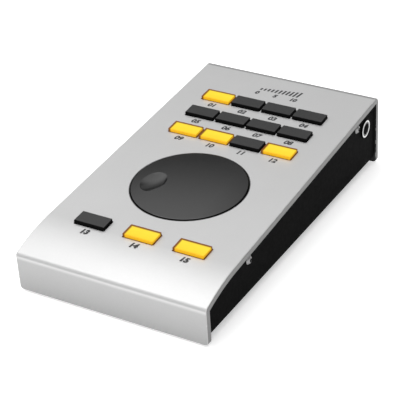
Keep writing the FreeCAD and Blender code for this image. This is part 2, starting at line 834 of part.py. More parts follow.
def post_holes(name, posts, level):
    return [
        rod("%s_post_hole_%d" % (name, number), "screw_radius + screw_clearance",
            "board_thickness", x, y, "-%s - board_thickness" % level)
        for number, (x, y) in enumerate(posts, start=1)
    ]


def make_main_board():
    board = block(
        "main_board_blank",
        ("2 * (%s + board_side_margin)" % BOARD_POST_X, "%s - %s" % (BOARD_END, BOARD_START),
         "board_thickness"),
        ("0", "-(%s + %s) / 2" % (BOARD_START, BOARD_END)),
        "-" + BOARD_DROP,
    )
    holes = post_holes("main_board", main_board_posts(), BOARD_DROP)
    holes.append(rod(
        "main_board_encoder_hole", "bushing_radius + screw_clearance", "board_thickness",
        "0", "-" + WHEEL_RUN, "-" + BOARD_UNDERSIDE,
    ))
    board = cut("main_board", board, holes)
    place_in_panel(board)
    subpart(board, "main_board")


def make_connector_board():
    board = block(
        "connector_board_blank",
        ("connector_board_width", "connector_board_length", "board_thickness"),
        ("%s + connector_board_width / 2" % CONNECTOR_LEFT,
         "-(%s + connector_board_length / 2)" % CONNECTOR_START),
        "-" + CONNECTOR_DROP,
    )
    holes = post_holes("connector_board", connector_board_posts(), CONNECTOR_DROP)
    board = cut("connector_board", board, holes)
    place_in_panel(board)
    subpart(board, "connector_board")


def make_board_chips():
    """Processor, crystal and two capacitors, soldered under the main board behind the wheel."""
    level = "-" + BOARD_UNDERSIDE
    chips = [
        block("processor", ("processor_width", "processor_width", "processor_height"),
              ("0", "-processor_run"), level),
        block("crystal", ("crystal_width", "crystal_depth", "crystal_height"),
              ("crystal_offset", "-processor_run"), level),
    ]
    for number, sign in enumerate((-1, 1), start=1):
        chips.append(rod(
            "capacitor_%d" % number, "capacitor_radius", "capacitor_height", "-crystal_offset",
            "-processor_run + %d * capacitor_offset / 2" % sign, "%s - capacitor_height" % level,
        ))
    chips = group("board_chips", chips)
    place_in_panel(chips)
    subpart(chips, "board_chips")


def make_board_link():
    """A ten-way header under the main board, plugged into a socket on the connector board."""
    length = "((link_columns + 1) * link_pitch)"
    width = "(3 * link_pitch)"
    room = "(%s - %s)" % (CONNECTOR_DROP, BOARD_UNDERSIDE)
    centre = (USB_CENTRE, "-" + LINK_RUN)
    pin_length = "(%s - link_end_gap)" % room
    header = [block("link_header_body", (length, width, "link_header_height"), centre,
                    "-" + BOARD_UNDERSIDE)]
    holes = []
    hole_width = "(link_pin_width + 2 * link_pin_gap)"
    hole_depth = "(%s - link_header_height)" % room
    for column in range(int(value("link_columns"))):
        for line in (-1, 1):
            place = (
                "%s + (%d - (link_columns - 1) / 2) * link_pitch" % (USB_CENTRE, column),
                "%d * link_pitch / 2 - %s" % (line, LINK_RUN),
            )
            tag = "%d_%d" % (column, line + 1)
            header.append(block("link_pin_" + tag, ("link_pin_width", "link_pin_width", pin_length),
                                place, "-" + BOARD_UNDERSIDE))
            holes.append(block("link_hole_" + tag, (hole_width, hole_width, hole_depth), place,
                               "-%s - link_header_height" % BOARD_UNDERSIDE))
    header = fuse("link_header", header)
    socket = cut(
        "link_socket",
        block("link_socket_body", (length, width, hole_depth), centre,
              "-%s - link_header_height" % BOARD_UNDERSIDE),
        holes,
    )
    for node in (header, socket):
        place_in_panel(node)
        subpart(node, node.Name)


# Keys ---------------------------------------------------------------------------------

def make_key_switches():
    """Switch housings on the main board, each with a well for its plunger, and their lamps."""
    housings = []
    lamps = []
    for number, across, run in key_places():
        housing = block(
            "switch_block_" + number,
            ("switch_width", "switch_depth", SWITCH_HEIGHT),
            (across, "-(%s)" % run),
            "-" + SWITCH_TOP,
        )
        well = rod(
            "switch_well_" + number, "plunger_radius + plunger_clearance",
            "%s - switch_floor" % SWITCH_HEIGHT, across, "-(%s)" % run,
            "-%s + switch_floor" % BOARD_DROP,
        )
        housings.append(cut("switch_" + number, housing, [well]))
        lamps.append(rod(
            "lamp_" + number, "lamp_radius", "lamp_height", "%s + lamp_offset" % across,
            "-(%s)" % run, "-" + SWITCH_TOP,
        ))
    for label, pieces in (("key_switches", housings), ("key_leds", lamps)):
        node = group(label, pieces)
        place_in_panel(node)
        subpart(node, label)


def make_key_caps():
    """Fifteen copies of one hollow cap with a boss for its plunger."""
    body = make_body("CapBody")
    width = "(window_width - 2 * key_gap)"
    depth = "(window_depth - 2 * key_gap)"
    corner = "(window_radius - key_gap)"
    outline = make_sketch(body, "CapOutline", "XY_Plane", "-" + CAP_BOTTOM)
    draw_window(outline, width, depth, corner)
    cap = add_feature(body, "Pad", "CapBlock", outline, "%s + cap_rise" % CAP_BOTTOM)
    top = value("cap_rise")
    top_edges = edges_where(cap, lambda ends: all(near(point.z, top) for point in ends))
    dress(body, "Fillet", "CapTopEdges", cap, top_edges, "Radius", "cap_edge_radius")

    inside = make_sketch(body, "CapInside", "XY_Plane", "-" + CAP_BOTTOM)
    draw_window(
        inside,
        "%s - 2 * cap_wall" % width,
        "%s - 2 * cap_wall" % depth,
        "%s / 2" % corner,
    )
    draw_circle(inside, "cap_boss_radius")
    room = "%s + cap_rise - cap_top" % CAP_BOTTOM
    add_feature(body, "Pocket", "CapRoom", inside, room, reverse=True)

    bore = make_sketch(body, "CapBore", "XY_Plane", "-" + CAP_BOTTOM)
    draw_circle(bore, "plunger_radius")
    add_feature(body, "Pocket", "CapBoreCut", bore, room, reverse=True)
    for number, across, run in key_places():
        cap = group("cap_" + number, [body])
        place_in_panel(cap, across, run)
        subpart(cap, "key_cap_" + number)


def make_key_plungers():
    """The switches' moving stems, from the well in each housing up into the cap's boss."""
    bottom = "(%s - switch_floor - key_travel - plunger_floor_gap)" % BOARD_DROP
    length = "%s + cap_rise - cap_top" % bottom
    for number, across, run in key_places():
        plunger = doc.addObject("Part::Cylinder", "plunger_" + number)
        bind(plunger, Radius="plunger_radius", Height=length)
        place_in_panel(plunger, across, run, bottom)
        subpart(plunger, "key_plunger_" + number)


# Wheel and encoder --------------------------------------------------------------------

def draw_wheel_section(sketch):
    """Half of the wheel's section: crowned top, rim, underside and the hub's pocket."""
    summit = sum_of("wheel_rise", "wheel_crown")
    radius = "(wheel_hole_radius - wheel_gap)"
    rim_inside = "(wheel_hole_radius - wheel_gap - wheel_rim_wall)"
    spigot_level = "-wheel_disc + spigot_height"
    points = [
        (radius, "wheel_rise"),
        (radius, "-wheel_rim_depth"),
        (rim_inside, "-wheel_rim_depth"),
        (rim_inside, "-wheel_disc"),
        ("spigot_radius", "-wheel_disc"),
        ("spigot_radius", spigot_level),
        ("0", spigot_level),
        ("0", summit),
    ]
    corners = [Vector(value(x), value(y), 0) for x, y in points]
    sides = []
    for start, end in zip(corners, corners[1:]):
        sides.append(sketch.addGeometry(Part.LineSegment(start, end), False))
    for side, following in zip(sides, sides[1:]):
        sketch.addConstraint(Sketcher.Constraint("Coincident", side, 2, following, 1))
    for side, (x, y) in zip(sides, points):
        fix_point(sketch, side, 1, x, y)
    fix_point(sketch, sides[-1], 2, *points[-1])

    # The crown is one arc from the rim to the top centre, with its own centre on the axis
    crown_radius = "(%s ^ 2 + wheel_crown ^ 2) / (2 * wheel_crown)" % radius
    centre = Vector(0, value(summit) - value(crown_radius), 0)
    rim_angle = math.atan2(value("wheel_rise") - centre.y, value(radius))
    circle = Part.Circle(centre, Vector(0, 0, 1), value(crown_radius))
    arc = sketch.addGeometry(Part.ArcOfCircle(circle, rim_angle, math.pi / 2), False)
    sketch.addConstraint(Sketcher.Constraint("Coincident", arc, 1, sides[0], 1))
    sketch.addConstraint(Sketcher.Constraint("Coincident", arc, 2, sides[-1], 2))
    sketch.addConstraint(Sketcher.Constraint("PointOnObject", arc, 3, -2))


def draw_dimple_section(sketch):
    """The finger dimple's arc across the wheel, and the higher axis that the arc swings about."""
    arc_radius = "((dimple_width ^ 2 / 4 + dimple_depth ^ 2) / (2 * dimple_depth))"
    swing_radius = "((dimple_length ^ 2 / 4 + dimple_depth ^ 2) / (2 * dimple_depth))"
    across = "-dimple_distance * cos(dimple_angle)"
    bottom = sum_of("wheel_rise", "wheel_crown / 2", "-dimple_depth")
    centre_level = sum_of(bottom, arc_radius)
    axis_level = sum_of(bottom, swing_radius)

    # The arc reaches twice as high as the dimple is deep, well clear of the wheel's top
    spread = math.acos(1 - 2 * value("dimple_depth") / value(arc_radius))
    lowest = 3 * math.pi / 2
    centre = Vector(value(across), value(centre_level), 0)
    circle = Part.Circle(centre, Vector(0, 0, 1), value(arc_radius))
    arc = sketch.addGeometry(Part.ArcOfCircle(circle, lowest - spread, lowest + spread), False)
    join(sketch, (arc, 2), (arc, 1))
    chord = arc + 1
    sketch.addConstraint(Sketcher.Constraint("Horizontal", chord))
    dimension(sketch, "Radius", (arc,), arc_radius)
    fix_point(sketch, arc, 3, across, centre_level)
    dimension(sketch, "DistanceY", (-1, 1, chord, 1), sum_of(bottom, "2 * dimple_depth"))

    level = value(axis_level)
    line = Part.LineSegment(Vector(0, level, 0), Vector(value(across), level, 0))
    axis = sketch.addGeometry(line, True)
    fix_point(sketch, axis, 1, "0", axis_level)
    fix_point(sketch, axis, 2, across, axis_level)


def make_control_wheel():
    body = make_body("WheelBody")
    section = make_sketch(body, "WheelSection", "XZ_Plane")
    draw_wheel_section(section)
    disc = body.newObject("PartDesign::Revolution", "WheelDisc")
    disc.Profile = section
    disc.ReferenceAxis = (origin_feature(body, "Z_Axis"), "")
    disc.Angle = 360
    doc.recompute()
    rim = value("wheel_hole_radius - wheel_gap")
    rise = value("wheel_rise")
    rim_edges = edges_where(
        disc, lambda ends: all(near(p.z, rise) and near(math.hypot(p.x, p.y), rim) for p in ends)
    )
    dress(body, "Fillet", "WheelEdge", disc, rim_edges, "Radius", "wheel_edge_radius")

    section = make_sketch(body, "DimpleSection", "XZ_Plane", "dimple_distance * sin(dimple_angle)")
    draw_dimple_section(section)
    dimple = body.newObject("PartDesign::Groove", "FingerDimple")
    dimple.Profile = section
    dimple.ReferenceAxis = (section, ["Axis0"])
    dimple.Angle = 360
    doc.recompute()
    place_in_panel(body, run=WHEEL_RUN)
    subpart(body, "control_wheel")


def make_wheel_hub():
    """Brass insert: a spigot in the wheel, a flange below it and a bore for the shaft."""
    underside = "-" + HUB_DROP
    flange_height = "(%s - wheel_disc)" % HUB_DROP
    flange = rod("hub_flange", "hub_radius", flange_height, "0", "0", underside)
    spigot = rod(
        "hub_spigot", "spigot_radius", "%s + spigot_height" % flange_height, "0", "0", underside
    )
    bore = rod(
        "hub_bore", "shaft_radius", "%s + spigot_height" % flange_height, "0", "0", underside
    )
    thread = rod(
        "hub_thread", "screw_radius", "hub_radius", "0", "0",
        "%s + %s / 2" % (underside, flange_height), Vector(1, 0, 0),
    )
    hub = cut("wheel_hub", fuse("hub_solid", [flange, spigot]), [bore, thread])
    place_in_panel(hub, run=WHEEL_RUN)
    subpart(hub, "wheel_hub")

    grub = rod(
        "grub_blank", "screw_radius", "hub_radius - shaft_radius", "shaft_radius", "0",
        "%s + %s / 2" % (underside, flange_height), Vector(1, 0, 0),
    )
    key_socket = hexagon(
        "grub_socket", "hex_radius / 2", "hex_depth",
        "hub_radius - hex_depth", "0",
        "%s + %s / 2" % (underside, flange_height), Vector(1, 0, 0),
    )
    screw = cut("wheel_set_screw", grub, [key_socket])
    place_in_panel(screw, run=WHEEL_RUN)
    subpart(screw, "wheel_set_screw")


def make_encoder():
    """Endless encoder under the main board, its bushing through the board and a nut on top."""
    encoder_bottom = "(%s + encoder_height)" % BOARD_UNDERSIDE
    bore = rod(
        "encoder_bore", "shaft_radius + shaft_clearance", "encoder_height - encoder_floor",
        "0", "0", "-%s + encoder_floor" % encoder_bottom,
    )
    encoder = cut(
        "encoder_body",
        block("encoder_blank", ("encoder_width", "encoder_width", "encoder_height"),
              ("0", "0"), "-" + BOARD_UNDERSIDE),
        [bore],
    )
    bushing = tube(
        "encoder_bushing", "bushing_radius", "shaft_radius + shaft_clearance",
        "board_thickness + bushing_rise", "0", "0", "-" + BOARD_UNDERSIDE,
    )
    washer = tube(
        "encoder_washer", "washer_radius", "bushing_radius", "washer_thickness",
        "0", "0", "-" + BOARD_DROP,
    )
    nut_level = "-%s + washer_thickness" % BOARD_DROP
    nut = cut(
        "encoder_nut",
        hexagon("encoder_nut_blank", "nut_radius", "nut_height", "0", "0", nut_level),
        [rod("encoder_nut_bore", "bushing_radius", "nut_height", "0", "0", nut_level)],
    )
    for node in (encoder, bushing, washer, nut):
        place_in_panel(node, run=WHEEL_RUN)
        subpart(node, node.Name)

    shaft_bottom = "(%s - encoder_floor - hub_gap)" % encoder_bottom
    shaft = doc.addObject("Part::Cylinder", "encoder_shaft")
    bind(shaft, Radius="shaft_radius", Height="%s - wheel_disc + spigot_height" % shaft_bottom)
    place_in_panel(shaft, run=WHEEL_RUN, drop=shaft_bottom)
    subpart(shaft, "encoder_shaft")


# Connectors ---------------------------------------------------------------------------

def make_jack():
    """A 6.35 mm jack on the connector board, its sleeve through the chassis, and a ring nut."""
    outward = Vector(1, 0, 0)
    sleeve_end = "(%s + jack_nut_thickness)" % CHASSIS_HALF
    housing = block(
        "jack_housing",
        ("jack_length", "jack_width", "jack_height"),
        ("%s - jack_length / 2" % CHASSIS_ROOM, "-jack_run"),
        "-jack_drop + jack_height / 2",
    )
    sleeve = rod(
        "jack_sleeve", "jack_sleeve_radius", "%s - %s" % (sleeve_end, CHASSIS_ROOM),
        CHASSIS_ROOM, "-jack_run", "-jack_drop", outward,
    )
    bore = rod(
        "jack_bore", "jack_bore_radius", "jack_bore_depth",
        "%s - jack_bore_depth" % sleeve_end, "-jack_run", "-jack_drop", outward,
    )
    socket = cut("jack_socket", fuse("jack_solid", [housing, sleeve]), [bore])
    nut = cut(
        "jack_nut",
        rod("jack_nut_blank", "jack_nut_radius", "jack_nut_thickness",
            CHASSIS_HALF, "-jack_run", "-jack_drop", outward),
        [rod("jack_nut_bore", "jack_sleeve_radius", "jack_nut_thickness",
             CHASSIS_HALF, "-jack_run", "-jack_drop", outward)],
    )
    for node in (socket, nut):
        place_in_panel(node)
        subpart(node, node.Name)


def make_usb_socket():
    """A metal shell with a moulded insert, whose tongue stands in the mouth."""
    level = "-%s" % CONNECTOR_DROP
    middle = "%s + usb_height / 2" % level

    def along_socket(name, width, height, start, length):
        """A box about the socket's axis, starting some way in from the rear face."""
        return block(
            name, (width, length, height),
            (USB_CENTRE, "-(usb_recess + %s + (%s) / 2)" % (start, length)),
            "%s + (%s) / 2" % (middle, height),
        )

    inner_width = "(usb_width - 2 * usb_wall)"
    inner_height = "(usb_height - 2 * usb_wall)"
    shell = cut(
        "usb_shell",
        along_socket("usb_case", "usb_width", "usb_height", "0", "usb_length"),
        [along_socket("usb_case_room", inner_width, inner_height, "0", "usb_length - usb_wall")],
    )
    mould = cut(
        "usb_mould",
        along_socket("usb_filling", inner_width, inner_height, "0", "usb_length - usb_wall"),
        [along_socket("usb_mouth", "usb_mouth_width", "usb_mouth_height", "0", "usb_mouth_depth")],
    )
    tongue = along_socket(
        "usb_tongue", "usb_tongue_width", "usb_tongue_height", "usb_tongue_recess",
        "usb_mouth_depth - usb_tongue_recess",
    )
    insert = fuse("usb_insert", [mould, tongue])
    for node in (shell, insert):
        place_in_panel(node)
        subpart(node, node.Name)


# The whole product --------------------------------------------------------------------

make_top_cover()
make_base_chassis()
make_cover_blocks()
make_side_screws()
make_rubber_feet()
make_main_board()
make_board_mounting("main_board", main_board_posts(), BOARD_DROP)
make_board_chips()
make_connector_board()
make_board_mounting("connector_board", connector_board_posts(), CONNECTOR_DROP)
make_board_link()
make_jack()
make_usb_socket()
make_key_switches()
make_key_caps()
make_key_plungers()
make_control_wheel()
make_wheel_hub()
make_encoder()
doc.recompute()

for thing in doc.Objects:
    if "Invalid" in thing.State or "Error" in thing.State:
        raise RuntimeError("%s failed to build: %s" % (thing.Name, thing.State))
for thing in subparts:
    if thing.Shape.isNull() or not thing.Shape.isValid():
        raise RuntimeError("%s has no valid shape" % thing.Label)

os.makedirs("parts", exist_ok=True)
for thing in subparts:
    thing.Shape.exportStep("parts/%s.step" % thing.Label)
    box = thing.Shape.BoundBox
    print("%-28s %2d solids %10.1f mm3  x %7.2f %7.2f  y %7.2f %7.2f  z %6.2f %6.2f" % (
        thing.Label, len(thing.Shape.Solids), thing.Shape.Volume,
        box.XMin, box.XMax, box.YMin, box.YMax, box.ZMin, box.ZMax))
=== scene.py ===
"""Looks of the studio monitor controller: finishes, printed numbers, floor, light and camera."""

import json
import math

import bmesh
import bpy
from mathutils import Matrix, Vector


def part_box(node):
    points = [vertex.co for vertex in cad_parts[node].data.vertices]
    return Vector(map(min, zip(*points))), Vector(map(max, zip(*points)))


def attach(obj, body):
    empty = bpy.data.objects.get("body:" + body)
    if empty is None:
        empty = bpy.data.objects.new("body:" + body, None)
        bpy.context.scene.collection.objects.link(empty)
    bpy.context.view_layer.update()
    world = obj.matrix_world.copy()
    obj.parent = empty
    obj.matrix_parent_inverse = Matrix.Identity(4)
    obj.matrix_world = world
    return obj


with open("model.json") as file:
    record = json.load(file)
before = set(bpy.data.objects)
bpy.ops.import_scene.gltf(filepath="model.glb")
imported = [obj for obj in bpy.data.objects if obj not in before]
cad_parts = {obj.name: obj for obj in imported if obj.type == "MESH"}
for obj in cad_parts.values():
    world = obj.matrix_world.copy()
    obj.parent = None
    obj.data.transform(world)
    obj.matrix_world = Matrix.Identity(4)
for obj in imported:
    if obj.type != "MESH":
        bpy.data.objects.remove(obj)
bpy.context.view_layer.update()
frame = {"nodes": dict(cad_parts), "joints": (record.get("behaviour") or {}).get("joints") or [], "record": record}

MM = 0.001

# The panel's own frame: origin at the wheel's centre, X to the right, Y to the rear, Z outwards
wheel_joint = next(joint for joint in frame["joints"] if joint["name"] == "wheel_turn")
RIGHT = Vector((1, 0, 0))
PANEL_NORMAL = Vector(wheel_joint["axis"]).normalized()
PANEL_BACK = PANEL_NORMAL.cross(RIGHT)
PANEL = Matrix((RIGHT, PANEL_BACK, PANEL_NORMAL)).transposed().to_4x4()
PANEL.translation = Vector(wheel_joint["pos_m"])


def on_panel(x, y, z=0.0):
    """A point of the panel's frame, in metres of the shared frame."""
    return PANEL @ Vector((x, y, z))


def middle_of(node):
    """The middle of a node's box, in metres of the shared frame."""
    low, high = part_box(node)
    return (low + high) / 2


# Materials ----------------------------------------------------------------------------

class Finish:
    """A node material that is built up step by step around one Principled shader."""

    def __init__(self, name, color, roughness, metallic=0.0):
        self.material = bpy.data.materials.new(name)
        self.material.use_nodes = True
        self.tree = self.material.node_tree
        self.shader = self.tree.nodes["Principled BSDF"]
        self.color = color
        self.roughness = roughness
        self.shader.inputs["Base Color"].default_value = (*color, 1)
        self.shader.inputs["Roughness"].default_value = roughness
        self.shader.inputs["Metallic"].default_value = metallic
        self.place = self.node("ShaderNodeTexCoord").outputs["Object"]

    def node(self, kind, **settings):
        made = self.tree.nodes.new(kind)
        for name, setting in settings.items():
            setattr(made, name, setting)
        return made

    def link(self, output, target):
        self.tree.links.new(output, target)

    def drive(self, socket, output):
        """Lets an output drive one of the shader's sockets."""
        self.link(output, self.shader.inputs[socket])

    # Values and masks

    def noise(self, size, detail=2.0):
        """Noise with features of about a size in metres."""
        noise = self.node("ShaderNodeTexNoise")
        noise.inputs["Scale"].default_value = 1 / size
        noise.inputs["Detail"].default_value = detail
        self.link(self.place, noise.inputs["Vector"])
        return noise.outputs["Fac"]

    def span(self, source, low, high, start=0.3, end=0.7):
        """A value that goes from low to high while its source goes from start to end."""
        ramp = self.node("ShaderNodeMapRange")
        for name, number in (
            ("From Min", start), ("From Max", end), ("To Min", low), ("To Max", high)
        ):
            ramp.inputs[name].default_value = number
        self.link(source, ramp.inputs["Value"])
        return ramp.outputs["Result"]

    def rise(self, source, start, end):
        """A mask that is 0 up to the start and 1 from the end on."""
        return self.span(source, 0, 1, start, end)

    def fall(self, source, start, end):
        """A mask that is 1 up to the start and 0 from the end on."""
        return self.span(source, 1, 0, start, end)

    def band(self, source, start, full, fading, end):
        """A mask that rises over one range and falls over another."""
        return self.both(self.rise(source, start, full), self.fall(source, fading, end))

    def math(self, operation, first, second=None):
        """One operation on an output and, for most, a second output or a number."""
        made = self.node("ShaderNodeMath", operation=operation)
        self.link(first, made.inputs[0])
        if isinstance(second, bpy.types.NodeSocket):
            self.link(second, made.inputs[1])
        elif second is not None:
            made.inputs[1].default_value = second
        return made.outputs[0]

    def absolute(self, source):
        return self.math("ABSOLUTE", source)

    def both(self, first, second):
        """The smaller of two masks."""
        return self.math("MINIMUM", first, second)

    def either(self, first, second):
        """The larger of two masks."""
        return self.math("MAXIMUM", first, second)

    def squares(self, first, second):
        """The sum of the squares of two outputs."""
        return self.math("ADD", self.math("POWER", first, 2.0), self.math("POWER", second, 2.0))

    # Places and directions

    def from_centre(self, centre):
        """X, Y and Z in the panel's directions from a point, in metres."""
        mapping = self.node("ShaderNodeMapping", vector_type="TEXTURE")
        mapping.inputs["Location"].default_value = centre
        mapping.inputs["Rotation"].default_value = PANEL.to_euler()
        self.link(self.place, mapping.inputs["Vector"])
        parts = self.node("ShaderNodeSeparateXYZ")
        self.link(mapping.outputs["Vector"], parts.inputs["Vector"])
        return parts.outputs

    def radius(self, centre):
        """The distance from an axis that runs across through a point, in metres."""
        _, back, up = self.from_centre(centre)
        return self.math("SQRT", self.squares(back, up))

    def along(self, direction):
        """How far a surface's own normal points along a direction, -1 to 1."""
        dot = self.node("ShaderNodeVectorMath", operation="DOT_PRODUCT")
        dot.inputs[1].default_value = direction
        self.link(self.node("ShaderNodeTexCoord").outputs["Normal"], dot.inputs[0])
        return dot.outputs["Value"]

    def sphere_normal(self, centre):
        """The normal of a sphere around a point, for a flat facet that stands for part of it."""
        outward = self.node("ShaderNodeVectorMath", operation="SUBTRACT")
        outward.inputs[1].default_value = centre
        self.link(self.place, outward.inputs[0])
        turned = self.node(
            "ShaderNodeVectorTransform",
            vector_type="NORMAL", convert_from="OBJECT", convert_to="WORLD",
        )
        self.link(outward.outputs["Vector"], turned.inputs["Vector"])
        return turned.outputs["Vector"]

    # Colour, roughness and relief

    def blend(self, factor, first, second):
        """A colour between two, which are colours or outputs."""
        mix = self.node("ShaderNodeMix", data_type="RGBA")
        self.link(factor, mix.inputs["Factor"])
        for socket, color in ((mix.inputs["A"], first), (mix.inputs["B"], second)):
            if isinstance(color, bpy.types.NodeSocket):
                self.link(color, socket)
            else:
                socket.default_value = (*color, 1)
        return mix.outputs["Result"]

    def vary_color(self, size, amount):
        """Lets the base colour drift by a share of itself."""
        darker = [channel * (1 - amount) for channel in self.color]
        lighter = [min(1.0, channel * (1 + amount)) for channel in self.color]
        self.base = self.blend(self.span(self.noise(size), 0, 1), darker, lighter)
        self.drive("Base Color", self.base)

    def lay(self, mask, color):
        """Puts a colour over the base colour where a mask is 1."""
        self.base = self.blend(mask, self.base, color)
        self.drive("Base Color", self.base)

    def vary_roughness(self, size, amount):
        """Lets the roughness drift by an amount to either side."""
        low, high = self.roughness - amount, self.roughness + amount
        self.drive("Roughness", self.span(self.noise(size, 3.0), low, high))

    def grain(self, size, depth, detail=2.0):
        """Fine relief of a feature size and a depth, both in metres."""
        bump = self.node("ShaderNodeBump")
        bump.inputs["Strength"].default_value = 1.0
        bump.inputs["Distance"].default_value = depth
        self.link(self.noise(size, detail), bump.inputs["Height"])
        self.drive("Normal", bump.outputs["Normal"])
        return bump


def grey(level):
    """A colour without a hue."""
    return (level, level, level)


def simple_finish(name, color, roughness, metallic=0.0, size=4 * MM, grain=0.01 * MM):
    """A finish with slight drift of colour and roughness and a fine relief."""
    finish = Finish(name, color, roughness, metallic)
    finish.vary_color(size, 0.06)
    finish.vary_roughness(size / 4, min(0.07, roughness / 3))
    finish.grain(0.25 * MM, grain)
    return finish.material


# Where the cover changes: up from the panel's face, back from the wheel or out from the middle,
# and by how far its surface faces forward, sideways or the panel's way, 0 to 1
FLANGE_HIGHLIGHT_UP = (-7.8 * MM, -6.2 * MM, -6.1 * MM, -5.2 * MM)
FLANGE_FOOT_UP = (-25 * MM, -8 * MM)
REAR_BEND_BACK = (113.9 * MM, 115.3 * MM)
REAR_BEND_UP = (-4.2 * MM, -3.2 * MM)
REAR_INSIDE_BACK = (108 * MM, 110 * MM)
OPENINGS_OUT = (50 * MM, 51 * MM)
OPENINGS_MIDDLE_BACK = 20 * MM
OPENINGS_REACH = (90 * MM, 91 * MM)
HOLE_RADIUS = 30.4 * MM
HOLE_RIM_OUT = (HOLE_RADIUS + 0.15 * MM, HOLE_RADIUS + 0.6 * MM)
COVER_EDGE_OUT = (51.9 * MM, 52.4 * MM)
FRONT_BEND_FORWARD = (0.3, 0.6, 0.93, 0.97)
FLANGE_FORWARD = (0.80, 0.95)
SAWN_SIDEWAYS = (0.75, 0.97)
WALL_PANELWARD = (0.2, 0.5)


def cover_finish():
    """Fine satin aluminium: a bright panel, with painted shade on the bends, the flange, the sawn edges and the
    openings, and a painted highlight line on the flange.
    """
    finish = Finish("cover_satin", grey(0.56), 0.50, 0.75)
    finish.vary_color(30 * MM, 0.012)
    across, back, up = finish.from_centre(PANEL.translation)
    beside = finish.absolute(across)
    forward = finish.along(-PANEL_BACK)
    front = finish.rise(forward, *FLANGE_FORWARD)

    # Painted shade and highlight: the front bend is painted darker, the flange a darker grey than the panel and
    # darker still towards its foot, and a painted highlight line runs just below the bend
    finish.lay(finish.band(forward, *FRONT_BEND_FORWARD), grey(0.49))
    finish.lay(front, grey(0.475))
    finish.lay(finish.both(front, finish.fall(up, *FLANGE_FOOT_UP)), grey(0.395))
    finish.lay(finish.both(front, finish.band(up, *FLANGE_HIGHLIGHT_UP)), grey(0.65))

    # Painted shade: the rear bend is painted darker, and the rear flange's inner face is painted nearly black
    rear_bend = finish.both(finish.rise(back, *REAR_BEND_BACK), finish.rise(up, *REAR_BEND_UP))
    finish.lay(rear_bend, grey(0.33))
    finish.lay(finish.both(front, finish.rise(back, *REAR_INSIDE_BACK)), grey(0.030))

    # Painted shade: the walls of the wheel's hole and the key windows are painted dark, and so is a thin ring on
    # the panel around the hole's rim
    wall = finish.fall(finish.absolute(finish.along(PANEL_NORMAL)), *WALL_PANELWARD)
    from_middle = finish.absolute(finish.math("SUBTRACT", back, OPENINGS_MIDDLE_BACK))
    inner = finish.both(
        finish.fall(beside, *OPENINGS_OUT), finish.fall(from_middle, *OPENINGS_REACH)
    )
    finish.lay(finish.both(wall, inner), grey(0.02))
    from_wheel = finish.math("SQRT", finish.squares(across, back))
    finish.lay(finish.fall(from_wheel, *HOLE_RIM_OUT), grey(0.03))

    # A thin line of wear follows the side edges, and their sawn faces are painted darker as shade
    rubbed = finish.span(finish.noise(5 * MM, 4.0), 0, 0.8, 0.50, 0.62)
    finish.lay(finish.both(finish.rise(beside, *COVER_EDGE_OUT), rubbed), grey(0.68))
    sawn = finish.rise(finish.absolute(finish.along(RIGHT)), *SAWN_SIDEWAYS)
    finish.lay(sawn, grey(0.23))

    finish.vary_roughness(1.2 * MM, 0.03)
    finish.grain(0.12 * MM, 0.0025 * MM)
    return finish.material


def chassis_finish():
    """Black powder coat with its fine orange peel."""
    finish = Finish("chassis_black", (0.0020, 0.0020, 0.0021), 0.62)
    finish.shader.inputs["Specular IOR Level"].default_value = 0.015
    finish.vary_color(8 * MM, 0.10)
    finish.vary_roughness(2 * MM, 0.05)
    finish.grain(0.5 * MM, 0.012 * MM, detail=3.0)
    return finish.material


# The wheel's shape in the panel's frame, and the way that the dimple's steep edge faces
DIMPLE_CENTRE = (-18.56 * MM, -5.10 * MM)
DIMPLE_HALF_WIDTH = 12.5 * MM / 2
DIMPLE_HALF_LENGTH = 17.8 * MM / 2
DIMPLE_EDGE_FACES = PANEL.to_3x3() @ Vector((-0.546, 0.838, 0))
CROWN_SUMMIT = 1.1 * MM
CROWN_RADIUS = 745.3 * MM
CROWN_MIDDLE_OUT = (6 * MM, 9 * MM)
WHEEL_BESIDE_OUT = (17 * MM, 30 * MM)

# Where the wheel changes: by its slope towards that way, by how flat it lies, and by the reach,
# which goes from 0 in the dimple's middle to 1 at its rim
DIMPLE_LIGHT_SLOPE = (-0.04, 0.03, 0.10, 0.19)
DIMPLE_LIGHT_REACH = (0.7, 1.0)
EDGE_SLOPE = (0.02, 0.08)
EDGE_REACH = (0.70, 0.88, 1.12, 1.25)
SHINY_FLAT = (0.55, 0.96)
CROWN_FLAT = (0.90, 0.96)


